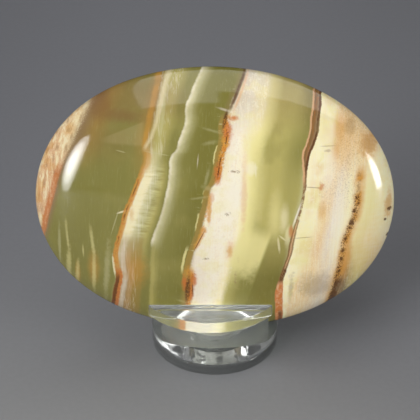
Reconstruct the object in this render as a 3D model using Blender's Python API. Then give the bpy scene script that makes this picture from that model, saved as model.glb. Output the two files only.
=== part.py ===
# A polished palm stone, held upright in the slot of a small clear stand that turns on its foot.
# Origin: centre of the foot's flat underside. +X runs along the slot, +Z is up, and the stone's
# face looks towards -Y. All sizes are in metres.

import bpy
import bmesh
from math import cos, hypot, pi, radians, sin, sqrt, tan
from mathutils import Matrix

MM = 0.001

# Stone: an ellipsoid with a slightly fuller oval outline, which leans back in the slot and is
# turned a little in its own plane. A fullness of 2 is a true ellipse.
STONE_LENGTH = 70.0 * MM
STONE_HEIGHT = 53.5 * MM
STONE_THICKNESS = 18.0 * MM
STONE_FULLNESS = 2.08
STONE_LEAN = radians(12.0)
STONE_TURN = radians(2.0)

# Foot and cradle: two lengths of one clear rod. The skin closes the foot's screw hole below, and
# the land is the straight bore below the cradle's countersink.
ROD_DIAMETER = 25.4 * MM
FOOT_THICKNESS = 2.2 * MM
FOOT_SKIN = 0.5 * MM
SLOT_DEPTH = 6.2 * MM
SINK_LAND = 0.2 * MM
ROD_CHAMFER = 0.2 * MM

# Jaws: two D-shaped plates, each a segment of a wider disc, set a little off centre
JAW_DISC_DIAMETER = 30.6 * MM
JAW_THICKNESS = 2.4 * MM
JAW_OVERHANG = 0.5 * MM
JAW_SHIFT = -0.9 * MM
JAW_CORNER = 0.5 * MM
JAW_CHAMFER = 0.12 * MM

# Screw: countersunk, with a hexagon socket and a rolled thread
SCREW_DIAMETER = 5.0 * MM
SCREW_HEAD_DIAMETER = 7.6 * MM
SCREW_HEAD_CONE = radians(45.0)
SCREW_HEAD_RECESS = 0.2 * MM
THREAD_PITCH = 0.8 * MM
THREAD_DEPTH = 0.45 * MM
SOCKET_WIDTH = 2.5 * MM
SOCKET_DEPTH = 1.2 * MM

# Clearance between pieces that touch on the real object, and the length below which two points
# count as one
CLEARANCE = 0.3 * MM
TINY = 0.001 * MM

# Facets round a full turn
STONE_SEGMENTS = 64
STONE_RINGS = 32
ROD_SEGMENTS = 72
JAW_SEGMENTS = 24
THREAD_SEGMENTS = 32
THREAD_ROWS_PER_PITCH = 8

# Places that follow from the sizes
ROD_RADIUS = ROD_DIAMETER / 2
SCREW_HOLE_RADIUS = SCREW_DIAMETER / 2 + CLEARANCE
SCREW_CONE_HEIGHT = (SCREW_HEAD_DIAMETER - SCREW_DIAMETER) / 2 / tan(SCREW_HEAD_CONE)
SLOT_FLOOR = SINK_LAND + SCREW_CONE_HEIGHT + SCREW_HEAD_RECESS
CRADLE_HEIGHT = SLOT_FLOOR + SLOT_DEPTH
CRADLE_BASE = FOOT_THICKNESS + CLEARANCE
SLOT_FLOOR_TOP = CRADLE_BASE + SLOT_FLOOR
JAW_BASE = CRADLE_BASE + CRADLE_HEIGHT + CLEARANCE
JAW_TOP = JAW_BASE + JAW_THICKNESS
SCREW_TOP = SLOT_FLOOR_TOP - SCREW_HEAD_RECESS
SCREW_BASE = FOOT_SKIN + CLEARANCE


def stone_half_extent_z():
    """Half of the leaning stone's upright height."""
    return hypot(STONE_HEIGHT / 2 * cos(STONE_LEAN), STONE_THICKNESS / 2 * sin(STONE_LEAN))


def stone_section(drop):
    """Middle and half thickness of the leaning stone, measured along Y at a depth below its centre."""
    flat, tall = (STONE_THICKNESS / 2) ** -2, (STONE_HEIGHT / 2) ** -2
    along_y = flat * cos(STONE_LEAN) ** 2 + tall * sin(STONE_LEAN) ** 2
    along_z = flat * sin(STONE_LEAN) ** 2 + tall * cos(STONE_LEAN) ** 2
    mixed = (flat - tall) * sin(STONE_LEAN) * cos(STONE_LEAN)
    half = sqrt((mixed * drop) ** 2 - along_y * (along_z * drop ** 2 - 1)) / along_y
    return -mixed * drop / along_y, half


# The stone rests a clearance above the slot's floor, and the slot is as wide as the stone there
STONE_CENTRE_Z = SLOT_FLOOR_TOP + CLEARANCE + stone_half_extent_z()
SEAT_MIDDLE, SEAT_HALF = stone_section(STONE_CENTRE_Z - JAW_TOP)
STONE_CENTRE_Y = -SEAT_MIDDLE
SLOT_HALF = SEAT_HALF + CLEARANCE


def clear_scene():
    for item in list(bpy.data.objects):
        bpy.data.objects.remove(item, do_unlink=True)


def new_material(name, color, roughness, metallic=0.0, transmission=0.0):
    material = bpy.data.materials.new(name)
    material.use_nodes = True
    shader = material.node_tree.nodes["Principled BSDF"]
    shader.inputs["Base Color"].default_value = (*color, 1.0)
    shader.inputs["Roughness"].default_value = roughness
    shader.inputs["Metallic"].default_value = metallic
    shader.inputs["Transmission Weight"].default_value = transmission
    return material


def add_object(name, mesh_builder, material=None, parent=None, location=(0, 0, 0), rotation=(0, 0, 0)):
    mesh = bpy.data.meshes.new(name)
    bmesh.ops.recalc_face_normals(mesh_builder, faces=mesh_builder.faces[:])
    mesh_builder.to_mesh(mesh)
    mesh_builder.free()
    piece = bpy.data.objects.new(name, mesh)
    bpy.context.scene.collection.objects.link(piece)
    if material:
        mesh.materials.append(material)
    piece.parent = parent
    piece.location = location
    piece.rotation_euler = rotation
    mesh.shade_smooth()
    mesh.set_sharp_from_angle(angle=radians(35))
    return piece


def add_axis(name, location, parent=None):
    """An empty on a joint's axis, which carries the pieces that move with the joint."""
    empty = bpy.data.objects.new(name, None)
    bpy.context.scene.collection.objects.link(empty)
    empty.empty_display_size = 5 * MM
    empty.parent = parent
    empty.location = location
    return empty


def turned(profile, closed, segments=ROD_SEGMENTS):
    """A profile of (radius, height) points, turned once round Z."""
    solid = bmesh.new()
    points = [solid.verts.new((radius, 0, height)) for radius, height in profile]
    edges = [solid.edges.new(pair) for pair in zip(points, points[1:])]
    if closed:
        edges.append(solid.edges.new((points[-1], points[0])))
    bmesh.ops.spin(solid, geom=points + edges, cent=(0, 0, 0), axis=(0, 0, 1),
                   angle=2 * pi, steps=segments, use_merge=True)
    bmesh.ops.remove_doubles(solid, verts=solid.verts[:], dist=TINY)
    return solid


def box(size, centre):
    solid = bmesh.new()
    bmesh.ops.create_cube(solid, size=1.0)
    bmesh.ops.transform(solid, matrix=Matrix.Translation(centre) @ Matrix.Diagonal((*size, 1)),
                        verts=solid.verts[:])
    return solid


def cut(piece, cutter):
    """Takes the cutter's shape out of the piece and keeps the cutter as a guide."""
    cutter.parent = piece
    cutter.hide_render = True
    cutter.display_type = "WIRE"
    modifier = piece.modifiers.new(cutter.name, "BOOLEAN")
    modifier.operation = "DIFFERENCE"
    modifier.object = cutter


def make_stone(parent):
    """The stone, its faces square to its own Y axis and its rim in its own XZ plane."""
    solid = bmesh.new()
    bmesh.ops.create_uvsphere(solid, u_segments=STONE_SEGMENTS, v_segments=STONE_RINGS, radius=0.5,
                              matrix=Matrix.Rotation(pi / 2, 4, "X"))
    for vert in solid.verts:
        reach = hypot(vert.co.x, vert.co.z)
        if reach > TINY:
            x, z = vert.co.x / reach, vert.co.z / reach
            outline = (abs(x) ** STONE_FULLNESS + abs(z) ** STONE_FULLNESS) ** (1 / STONE_FULLNESS)
            vert.co.x /= outline
            vert.co.z /= outline
    size = Matrix.Diagonal((STONE_LENGTH, STONE_THICKNESS, STONE_HEIGHT, 1))
    bmesh.ops.transform(solid, matrix=Matrix.Rotation(STONE_TURN, 4, "Y") @ size, verts=solid.verts[:])
    material = new_material("banded_calcite", (0.42, 0.38, 0.14), 0.12)
    return add_object("stone", solid, material, parent, rotation=(-STONE_LEAN, 0, 0))


def make_foot():
    """Thin disc with a blind screw hole that opens upwards."""
    solid = turned([
        (0, 0),
        (ROD_RADIUS - ROD_CHAMFER, 0),
        (ROD_RADIUS, ROD_CHAMFER),
        (ROD_RADIUS, FOOT_THICKNESS - ROD_CHAMFER),
        (ROD_RADIUS - ROD_CHAMFER, FOOT_THICKNESS),
        (SCREW_HOLE_RADIUS, FOOT_THICKNESS),
        (SCREW_HOLE_RADIUS, FOOT_SKIN),
        (0, FOOT_SKIN),
    ], closed=False)
    return add_object("foot", solid, new_material("foot_acrylic", (0.86, 0.88, 0.88), 0.05, transmission=1.0))


def make_cradle(parent, height):
    """Rod with a countersunk hole on its axis and a slot across its top."""
    sink_radius = SCREW_HEAD_DIAMETER / 2 + CLEARANCE
    solid = turned([
        (SCREW_HOLE_RADIUS, 0),
        (ROD_RADIUS - ROD_CHAMFER, 0),
        (ROD_RADIUS, ROD_CHAMFER),
        (ROD_RADIUS, CRADLE_HEIGHT - ROD_CHAMFER),
        (ROD_RADIUS - ROD_CHAMFER, CRADLE_HEIGHT),
        (sink_radius, CRADLE_HEIGHT),
        (sink_radius, SINK_LAND + SCREW_CONE_HEIGHT),
        (SCREW_HOLE_RADIUS, SINK_LAND),
    ], closed=True)
    material = new_material("cradle_acrylic", (0.86, 0.88, 0.88), 0.04, transmission=1.0)
    cradle = add_object("cradle", solid, material, parent, (0, 0, height))
    slot = box((2 * ROD_DIAMETER, 2 * SLOT_HALF, 2 * SLOT_DEPTH), (0, 0, CRADLE_HEIGHT))
    cut(cradle, add_object("slot_cutter", slot))
    return cradle


def is_upright(edge):
    return (edge.verts[0].co - edge.verts[1].co).xy.length < TINY


def make_jaw(name, parent, location, turn):
    """D-shaped plate: straight edge along the slot, round edge just past the rod's side."""
    radius = JAW_DISC_DIAMETER / 2
    arc_centre = radius - (ROD_RADIUS + JAW_OVERHANG)
    chord = SLOT_HALF + arc_centre
    half_chord = sqrt(radius ** 2 - chord ** 2)
    solid = bmesh.new()
    outline = []
    for step in range(JAW_SEGMENTS + 1):
        x = half_chord * sin(pi * (step / JAW_SEGMENTS - 0.5))
        outline.append(solid.verts.new((x, arc_centre - sqrt(radius ** 2 - x ** 2), 0)))
    plate = solid.faces.new(outline)
    rising = bmesh.ops.extrude_face_region(solid, geom=[plate])["geom"]
    bmesh.ops.translate(solid, vec=(0, 0, JAW_THICKNESS),
                        verts=[item for item in rising if isinstance(item, bmesh.types.BMVert)])
    corners = [edge for edge in solid.edges if is_upright(edge)
               and abs(abs(edge.verts[0].co.x) - half_chord) < TINY]
    bmesh.ops.bevel(solid, geom=corners, offset=JAW_CORNER, segments=3, profile=0.5, affect="EDGES")
    material = new_material(name + "_acrylic", (0.86, 0.88, 0.86), 0.04, transmission=1.0)
    jaw = add_object(name, solid, material, parent, location, (0, 0, turn))
    edge_chamfer = jaw.modifiers.new("edge_chamfer", "BEVEL")
    edge_chamfer.width = JAW_CHAMFER
    edge_chamfer.segments = 1
    edge_chamfer.limit_method = "ANGLE"
    edge_chamfer.angle_limit = radians(60)
    return jaw


def thread_radius(turn, height):
    """Radius of a right-handed V thread at an angle round the screw and a height."""
    phase = (height / THREAD_PITCH - turn / (2 * pi)) % 1.0
    return SCREW_DIAMETER / 2 - THREAD_DEPTH * abs(2 * phase - 1)


def make_screw(height):
    """Countersunk screw: threaded shank, cone and hexagon socket."""
    length = SCREW_TOP - SCREW_BASE
    shank = length - SCREW_CONE_HEIGHT
    rows = round(shank / THREAD_PITCH * THREAD_ROWS_PER_PITCH)
    turns = [2 * pi * step / THREAD_SEGMENTS for step in range(THREAD_SEGMENTS)]
    solid = bmesh.new()

    def ring(radii, level):
        return [solid.verts.new((radius * cos(turn), radius * sin(turn), level))
                for radius, turn in zip(radii, turns)]

    rings = []
    for row in range(rows):
        level = shank * row / rows
        rings.append(ring([thread_radius(turn, level) for turn in turns], level))
    rings.append(ring([SCREW_DIAMETER / 2] * THREAD_SEGMENTS, shank))
    rings.append(ring([SCREW_HEAD_DIAMETER / 2] * THREAD_SEGMENTS, length))
    for lower, upper in zip(rings, rings[1:]):
        for step in range(THREAD_SEGMENTS):
            after = (step + 1) % THREAD_SEGMENTS
            solid.faces.new((lower[step], lower[after], upper[after], upper[step]))
    solid.faces.new(reversed(rings[0]))
    solid.faces.new(rings[-1])
    material = new_material("screw_steel", (0.62, 0.62, 0.60), 0.25, metallic=1.0)
    screw = add_object("screw", solid, material, location=(0, 0, height))
    socket = bmesh.new()
    bmesh.ops.create_cone(socket, cap_ends=True, segments=6, radius1=SOCKET_WIDTH / sqrt(3),
                          radius2=SOCKET_WIDTH / sqrt(3), depth=2 * SOCKET_DEPTH,
                          matrix=Matrix.Translation((0, 0, length)))
    cut(screw, add_object("socket_cutter", socket))
    return screw


def main():
    clear_scene()
    make_foot()
    make_screw(SCREW_BASE)
    turntable = add_axis("turntable_axis", (0, 0, FOOT_THICKNESS))
    make_cradle(turntable, CRADLE_BASE - FOOT_THICKNESS)
    jaw_height = JAW_BASE - FOOT_THICKNESS
    make_jaw("front_jaw", turntable, (JAW_SHIFT, 0, jaw_height), 0)
    make_jaw("rear_jaw", turntable, (JAW_SHIFT, 0, jaw_height), pi)
    lift = add_axis("lift_axis", (0, STONE_CENTRE_Y, STONE_CENTRE_Z - FOOT_THICKNESS), turntable)
    make_stone(lift)


main()
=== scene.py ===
from math import atan2, hypot, pi, radians, sqrt

import bpy
from mathutils import Matrix, Vector


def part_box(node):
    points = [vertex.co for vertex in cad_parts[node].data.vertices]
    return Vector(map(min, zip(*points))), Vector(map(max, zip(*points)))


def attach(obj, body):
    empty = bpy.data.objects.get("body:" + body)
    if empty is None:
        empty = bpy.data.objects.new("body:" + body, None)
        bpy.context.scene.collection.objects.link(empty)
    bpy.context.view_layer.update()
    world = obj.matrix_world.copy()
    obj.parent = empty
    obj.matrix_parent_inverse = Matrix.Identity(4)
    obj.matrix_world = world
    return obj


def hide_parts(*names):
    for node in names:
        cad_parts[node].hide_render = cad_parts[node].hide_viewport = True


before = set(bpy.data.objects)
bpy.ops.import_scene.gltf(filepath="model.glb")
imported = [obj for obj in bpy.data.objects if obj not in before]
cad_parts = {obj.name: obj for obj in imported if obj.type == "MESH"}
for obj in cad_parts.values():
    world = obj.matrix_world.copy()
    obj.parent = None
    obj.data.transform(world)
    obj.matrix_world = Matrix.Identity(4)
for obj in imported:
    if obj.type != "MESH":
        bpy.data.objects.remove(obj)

bl_info = {
    "name": "Palm stone on a turning stand",
    "version": (1, 0, 0),
    "blender": (4, 5, 0),
    "location": "View3D > Sidebar > Palm Stone",
    "description": "Adds a polished banded stone, its clear slotted stand and a grey studio",
    "category": "Add Mesh",
}

MM = 0.001
CLOSE = 0.01 * MM  # how far apart two places may be and still count as one
DOUBLE = 0.002 * MM  # points nearer than this are merged
ROUND = 192  # points round a circle
RIM_BEVEL = 0.2 * MM
HOLE = 2.8 * MM  # radius of the screw's hole
AIM = (0, 0, 0.03)  # the lamps' target, in the stone
DOWNWARD = radians(32.02)  # how far the camera looks down
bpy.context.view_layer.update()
BOX = {name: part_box(name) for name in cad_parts}


def tone(red, green, blue):
    """Linear colour from the 0 to 255 values that a screen shows."""
    return tuple(v / 12.92 if v <= 0.04045 else ((v + 0.055) / 1.055) ** 2.4
                 for v in (red / 255, green / 255, blue / 255))


def length_property(name, description, default):
    return bpy.props.FloatProperty(name=name, description=description, default=default, min=0.0,
                                   unit="LENGTH", subtype="DISTANCE", precision=5)


def colour_property(name, description, *shown):
    return bpy.props.FloatVectorProperty(name=name, description=description, default=tone(*shown),
                                         size=3, min=0.0, max=1.0, subtype="COLOR")


def angle_property(name, description, default):
    return bpy.props.FloatProperty(name=name, description=description, default=default,
                                   unit="ROTATION", subtype="ANGLE")


def number_property(name, description, default, low=0.0):
    return bpy.props.FloatProperty(name=name, description=description, default=default, min=low)


class StoneSettings(bpy.types.PropertyGroup):
    """Sizes and colours of the banded stone"""
    length: length_property("Length", "Longest size, along the slot", 70 * MM)
    height: length_property("Height", "Size across the oval face", 53.5 * MM)
    thickness: length_property("Thickness", "Size from face to face", 18 * MM)
    fullness: bpy.props.FloatProperty(
        name="Fullness", description="How far the outline swells at its diagonals",
        default=1.0134, min=1.0, max=1.1)
    lean: angle_property("Lean", "Angle that the face leans back", radians(12))
    turn: angle_property("Turn", "Angle that the right end hangs down", radians(2))
    middle: bpy.props.FloatVectorProperty(
        name="Middle", description="Centre of the stone", size=3, unit="LENGTH",
        subtype="TRANSLATION", precision=5,
        default=tuple((BOX["stone"][0] + BOX["stone"][1]) / 2))
    olive: colour_property("Olive", "Translucent green of the wide bands", 142, 136, 72)
    deep_olive: colour_property("Deep olive", "Green where the stone is clearest", 128, 122, 56)
    bottle: colour_property("Bottle", "Darkest olive brown", 114, 101, 42)
    moss: colour_property("Moss", "Yellow green", 186, 175, 104)
    lemon: colour_property("Lemon", "Pale yellow", 238, 227, 158)
    celadon: colour_property("Celadon", "Pale milky green", 205, 199, 150)
    cream: colour_property("Cream", "Warm cream", 252, 241, 198)
    ivory: colour_property("Ivory", "Chalky white", 250, 242, 220)
    rose: colour_property("Rose white", "Pinkish white", 238, 224, 204)
    fawn: colour_property("Fawn", "Pinkish beige", 244, 217, 168)
    peach: colour_property("Peach", "Peach of the left cap", 226, 180, 136)
    rust: colour_property("Rust", "Orange brown of the veins", 204, 118, 54)
    amber: colour_property("Amber", "Amber of the stained zones", 216, 154, 64)
    bronze: colour_property("Bronze", "Olive brown beside the veins", 166, 138, 70)
    sepia: colour_property("Sepia", "Brown of the striped vein", 136, 98, 58)
    umber: colour_property("Umber", "Dark brown of the vein cores", 92, 56, 26)
    clay: colour_property("Clay", "Grey brown", 150, 124, 88)


class StandSettings(bpy.types.PropertyGroup):
    """Sizes and colours of the clear stand and its screw"""
    jaw_width: length_property("Jaw width", "Diameter of the disc that each jaw is cut from",
                               30.6 * MM)
    clear: colour_property("Clear", "Tint of the clear plastic", 250, 252, 250)
    steel: colour_property("Steel", "Colour of the plated screw", 196, 194, 188)


class StudioSettings(bpy.types.PropertyGroup):
    """Floor, lamps and camera"""
    floor_near: colour_property("Floor, near", "Grey of the floor in front", 142, 142, 141)
    floor_far: colour_property("Floor, far", "Grey of the floor behind", 112, 113, 118)
    ambient: number_property("Ambient", "Strength of the even light", 0.2)
    overhead: number_property("Overhead", "Radiance of the overhead panels", 1.4)
    top: number_property("Top", "Radiance of the soft lamp above", 0.58)
    front: number_property("Front", "Radiance of the soft lamp in front", 6.4)
    strips: number_property("Strips", "Radiance of the side strips", 14.0)
    lens: number_property("Lens", "Focal length in millimetres", 126.77, 1.0)


def math_node(operation, swapped=False):
    """A method that adds a Math node for two values."""
    def add(self, other):
        return self.math(operation, other, self) if swapped else self.math(operation, self, other)
    return add


class Term:
    """A value in a node tree. Arithmetic on it adds Math nodes."""
    __add__, __radd__ = math_node("ADD"), math_node("ADD", True)
    __sub__, __rsub__ = math_node("SUBTRACT"), math_node("SUBTRACT", True)
    __mul__, __rmul__ = math_node("MULTIPLY"), math_node("MULTIPLY", True)
    __truediv__, __rtruediv__ = math_node("DIVIDE"), math_node("DIVIDE", True)
    __pow__, over = math_node("POWER"), math_node("MAXIMUM")

    def __init__(self, recipe, socket):
        self.recipe, self.socket = recipe, socket

    def math(self, operation, *values):
        return self.recipe.node("ShaderNodeMath", {"operation": operation}, dict(enumerate(values)))

    def __abs__(self):
        return self.math("ABSOLUTE", self)

    def clamped(self):
        return self.math("MINIMUM", self.over(0.0), 1.0)

    def root(self):
        return self.math("SQRT", self.over(0.0))


class Recipe:
    """A material's node tree, with the few ways in which its nodes are added."""

    def __init__(self, name):
        self.material = bpy.data.materials.new(name)
        self.material.use_nodes = True
        self.tree = self.material.node_tree
        self.tree.nodes.clear()
        self.shader = self.tree.nodes.new("ShaderNodeBsdfPrincipled")
        self.end = self.tree.nodes.new("ShaderNodeOutputMaterial")
        self.join(self.shader.outputs[0], self.end.inputs["Surface"])

    def join(self, source, target):
        self.tree.links.new(source.socket if isinstance(source, Term) else source, target)

    def feed(self, target, value):
        if isinstance(value, Term):
            self.join(value, target)
        elif hasattr(target.default_value, "__len__") and len(target.default_value) == 4:
            target.default_value = (*tuple(value)[:3], 1.0)
        else:
            target.default_value = value

    def node(self, kind, settings=None, values=None, output=0):
        made = self.tree.nodes.new(kind)
        for key, value in (settings or {}).items():
            if key == "stops":
                stops = made.color_ramp.elements
                while len(stops) > 1:
                    stops.remove(stops[-1])
                for number, (place, colour) in enumerate(value):
                    stop = stops[0] if number == 0 else stops.new(place)
                    stop.position = place
                    stop.color = (*tuple(colour)[:3], 1.0)
            elif key == "points":
                curve = made.mapping.curves[0]
                curve.points[0].location, curve.points[-1].location = value[0], value[-1]
                for point in value[1:-1]:
                    curve.points.new(*point)
                made.mapping.update()
            else:
                setattr(made, key, value)
        for key, value in (values or {}).items():
            self.feed(made.inputs[key], value)
        return Term(self, made.outputs[output])

    def finish(self, **values):
        for key, value in values.items():
            self.feed(self.shader.inputs[key.replace("_", " ")], value)
        return self.material

    def place(self):
        return self.node("ShaderNodeTexCoord", output="Object")

    def mapped(self, vector, location=(0, 0, 0), rotation=(0, 0, 0), scale=(1, 1, 1), kind="POINT"):
        return self.node("ShaderNodeMapping", {"vector_type": kind},
                         {"Vector": vector, "Location": location, "Rotation": rotation, "Scale": scale})

    def split(self, vector):
        first = self.node("ShaderNodeSeparateXYZ", values={0: vector})
        return [Term(self, socket) for socket in first.socket.node.outputs]

    def measured(self, point, reach):
        """The x, y and z of a point, each within reach of 0. Separate XYZ takes a vector, and Cycles
        works out that conversion after every noise, so a large tree would fill its stack."""
        for turn in ((0, 0, 0), (0, 0, -pi / 2), (0, pi / 2, 0)):
            spot = self.mapped(point, (0.5, 0, 0), turn, (0.5 / reach,) * 3)
            share = self.node("ShaderNodeTexGradient", values={0: spot}, output="Fac")
            yield share.math("MULTIPLY_ADD", share, 2 * reach, -reach)

    def vector(self, x, y, z):
        return self.node("ShaderNodeCombineXYZ", values={0: x, 1: y, 2: z})

    def vector_math(self, operation, *values):
        return self.node("ShaderNodeVectorMath", {"operation": operation}, dict(enumerate(values)),
                         output=1 if operation == "LENGTH" else 0)

    def grey(self, value):
        return self.node("ShaderNodeCombineColor", values={0: value, 1: value, 2: value})

    def noise(self, vector, scale=1.0, detail=2.0, roughness=0.5):
        return self.node("ShaderNodeTexNoise", values={
            "Vector": vector, "Scale": scale, "Detail": detail, "Roughness": roughness})

    def rise(self, value, low, high):
        """0 up to low and 1 from high on, with a soft step between."""
        return self.node("ShaderNodeMapRange", {"interpolation_type": "SMOOTHSTEP", "clamp": False},
                         {"Value": value, "From Min": low, "From Max": high})

    def span(self, value, low, high):
        """0 up to low and 1 from high on, in a straight line between."""
        return ((value - low) / (high - low)).clamped()

    def near(self, value, middle, half, soft):
        """1 within half of the middle, fading over soft."""
        return self.rise(abs(value - middle if middle else value), half + soft, half)

    def mix(self, factor, first, second, blend="MIX"):
        return self.node("ShaderNodeMix", {"data_type": "RGBA", "blend_type": blend},
                         {0: factor, 6: first, 7: second}, output=2)

    def ramp(self, value, stops):
        return self.node("ShaderNodeValToRGB", {"stops": stops}, {0: value})

    def bump(self, height, distance, strength=1.0):
        return self.node("ShaderNodeBump", values={
            "Height": height, "Distance": distance, "Strength": strength})


def stone_turn(settings):
    """How the stone leans back and hangs to the right, as Euler angles."""
    turn = Matrix.Rotation(-settings.lean, 3, "X") @ Matrix.Rotation(settings.turn, 3, "Y")
    return turn.to_euler("XYZ")


def banded_calcite(settings):
    """Polished banded calcite. The bands are layers through the stone, laid out in its own millimetres."""
    recipe = Recipe("onyx_calcite")
    rise, near, noise, mix, span = recipe.rise, recipe.near, recipe.noise, recipe.mix, recipe.span

    def hue(name):
        return tuple(getattr(settings, name))

    local = recipe.mapped(recipe.place(), tuple(settings.middle), tuple(stone_turn(settings)),
                          (MM, MM, MM), "TEXTURE")
    x, y, z = recipe.measured(local, 50)
    half_x, half_y, half_z = (size / 2 / MM for size in (
        settings.length, settings.thickness, settings.height))

    # How far a point lies behind the front face, in millimetres
    face = (1 - (x / half_x) ** 2 - (z / half_z) ** 2).root() * -half_y
    depth = y - face
    front = rise(depth, 5.0, 2.5)

    cloud = noise(local, 0.11, 3)
    drift = noise(local, 0.34, 2)
    grain = noise(local, 1.6, 3, 0.6)
    fine = noise(local, 4.2, 2, 0.6)
    across = (x + (drift - 0.5) * 0.4 + (grain - 0.5) * 0.35
              - depth * 0.13 + (cloud - 0.5) * depth * 0.5)
    level = z + (cloud - 0.5) * 6

    # Streaky noises: growth layers, cross fibres, flowing cap, strands of the sandy band, vein stripes
    def streaky(tilt, scale, detail=3, roughness=0.6):
        spot = recipe.mapped(local, rotation=(0, radians(tilt), 0), scale=scale)
        return noise(spot, 1.0, detail, roughness)

    layer = streaky(-12, (1.3, 0.3, 0.08))
    silk = streaky(-16, (0.3, 1.0, 1.7))
    flow = streaky(-35, (1.1, 1.0, 0.28))
    strands = streaky(-12, (3.2, 1.0, 0.35), 3, 0.65)
    stripes = streaky(-10, (4.5, 1.0, 0.12), 2)

    def rows(table):
        return [row.split() for row in table.split(", ")]

    # Vein lines, from the left cap's edge to the amber vein near the right end. Each row is a height
    # and the vein's x there.
    top_z, end_x = 27, 35
    climb = span(z, -top_z, top_z)

    def line(table):
        spots = [((float(height) + top_z) / (2 * top_z), (float(place) + end_x) / (2 * end_x))
                 for height, place in reversed(rows(table))]
        curve = recipe.node("ShaderNodeFloatCurve", {"points": spots}, {"Value": climb})
        return curve.math("MULTIPLY_ADD", curve, 2 * end_x, -end_x)

    cap = line("27 -18, 22 -22, 18 -24.5, 15 -26, 12 -27.3, 10 -28.3, 7 -29.6, 5 -30.3, 2 -31, -2 -32, "
               "-6 -32.8, -9 -33.4, -27 -34")
    vein_a = line("27 -11, 20 -12.4, 17 -13, 13 -13.5, 10 -13.4, 8 -14, 5 -15, 3 -15.7, 0 -16.8, "
                  "-3 -17.5, -5 -18, -9 -18.8, -11 -18.7, -14 -18.2, -18 -18.7, -22 -19.2, -27 -20")
    vein_b = line("27 -3.2, 25 -4.4, 22 -5.6, 20 -6.3, 18 -6.2, 14 -7.3, 12.2 -7.9, 11.6 -8.5, 8 -8.9, "
                  "5 -9.2, 2 -9.8, -2 -10.8, -4 -11.5, -6.5 -12, -15 -12.2, -27 -12.5")
    vein_c = line("27 4.9, 24 3.6, 22 2.5, 20 1.9, 18 1.2, 14 1.1, 12 0.7, 8 0.1, 6.5 -0.3, 5.3 -1, "
                  "2 -1.5, 0 -2, -4 -2.7, -7 -3.7, -10 -4.3, -13 -4.5, -19 -4.8, -27 -5.2")
    chalk = line("27 9.6, 20 8.5, 17 7.7, 14 6.1, 10 5.5, 5 5.1, 0 4.7, -5 4.2, -12 3.4, -19 2.2, "
                 "-27 1.8")
    vein_f = line("27 20.3, 24 19, 20 18.4, 16 18, 14.5 17.6, 12 16.8, 8 16.7, 4 16.6, 0 15.9, -4 15.1, "
                  "-8 14.6, -12 13.6, -16 13.1, -20 13.3, -27 14")
    sand = line("27 23.8, 18 22.9, 12 22, 8 20.9, 2 19.9, -2 19.3, -8 18.6, -12 17.5, -14 16.5, -27 15.2")
    vein_h = line("27 31, 16 29.2, 12 28.4, 10 27.6, 6 27.2, 2 27.1, 0 26.8, -3 25.9, -5 25.3, -9 24.9, "
                  "-13 24.5, -18 23.8, -27 23")
    lines = [-36.0, cap, vein_a, vein_b, vein_c, chalk, vein_f, sand, vein_h, 36.0]
    band = None
    for left, right in zip(lines, lines[1:]):
        share = span(across, left, right)
        band = share if band is None else band + share

    # Base colours at three heights. Each row is a place, counted in bands from the left, and a colour.
    bands = len(lines) - 1

    def zones(table):
        stops = [(float(place) / bands, hue(name)) for place, name in rows(table)]
        return recipe.ramp(band / bands, stops)

    upper = zones("0 clay, 0.5 peach, 0.9 fawn, 1 clay, 1.2 bronze, 1.45 olive, 1.8 olive, "
                  "1.97 bronze, 2.08 bronze, 2.3 moss, 2.5 moss, 2.8 olive, 2.98 olive, 3.1 olive, "
                  "3.5 deep_olive, 3.97 deep_olive, 4.1 rose, 4.5 ivory, 4.95 cream, 5.08 lemon, "
                  "5.3 moss, 5.6 moss, 5.85 olive, 5.98 olive, 6.05 cream, 6.8 cream, 7.1 fawn, "
                  "7.9 fawn, 8.1 fawn, 8.5 cream, 9 clay")
    middle = zones("0 fawn, 0.4 peach, 0.95 peach, 1.02 clay, 1.08 olive, 1.5 olive, 1.97 olive, "
                   "2.04 cream, 2.25 cream, 2.5 celadon, 2.8 moss, 2.98 olive, 3.1 olive, 3.3 olive, "
                   "3.7 deep_olive, 3.97 deep_olive, 4.05 ivory, 4.85 ivory, 5 cream, 5.12 lemon, "
                   "5.4 moss, 5.9 moss, 5.98 celadon, 6.06 cream, 6.9 cream, 7.2 fawn, 7.45 rose, "
                   "7.8 cream, 8.05 cream, 8.4 cream, 8.85 cream, 9 clay")
    lower = zones("0 clay, 1 olive, 1.95 olive, 2.05 fawn, 2.25 clay, 2.5 bronze, 2.75 olive, "
                  "2.98 olive, 3.05 moss, 3.25 olive, 3.8 deep_olive, 3.97 bronze, 4.1 rose, "
                  "4.6 ivory, 4.9 cream, 5.02 moss, 5.25 olive, 5.8 deep_olive, 5.97 deep_olive, "
                  "6.06 cream, 6.6 cream, 7 fawn, 7.3 fawn, 7.7 rose, 7.95 fawn, 8.1 clay, "
                  "8.35 lemon, 8.7 fawn, 9 clay")
    colour = mix(rise(level, 5, 14), middle, upper)
    colour = mix(rise(level, -4, -14), colour, lower)

    def zone(start, end, soft=0.05):
        return rise(band, start - soft, start + soft) * rise(band, end + soft, end - soft)

    def paint(mask, name):
        nonlocal colour
        colour = mix(mask, colour, hue(name))

    def between(low, high, soft=1.0):
        return rise(z, low - soft, low + soft) * rise(z, high + soft, high - soft)

    # For the patches: a ragged edge, a place that moves far off for a point that isn't on the front
    # face, and the same place with x and z exchanged
    far_off = 60
    wobble = drift + grain - 1
    flat = recipe.vector(x, (1 - front) * far_off, z)
    cross = recipe.vector(z, 0, x)

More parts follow.
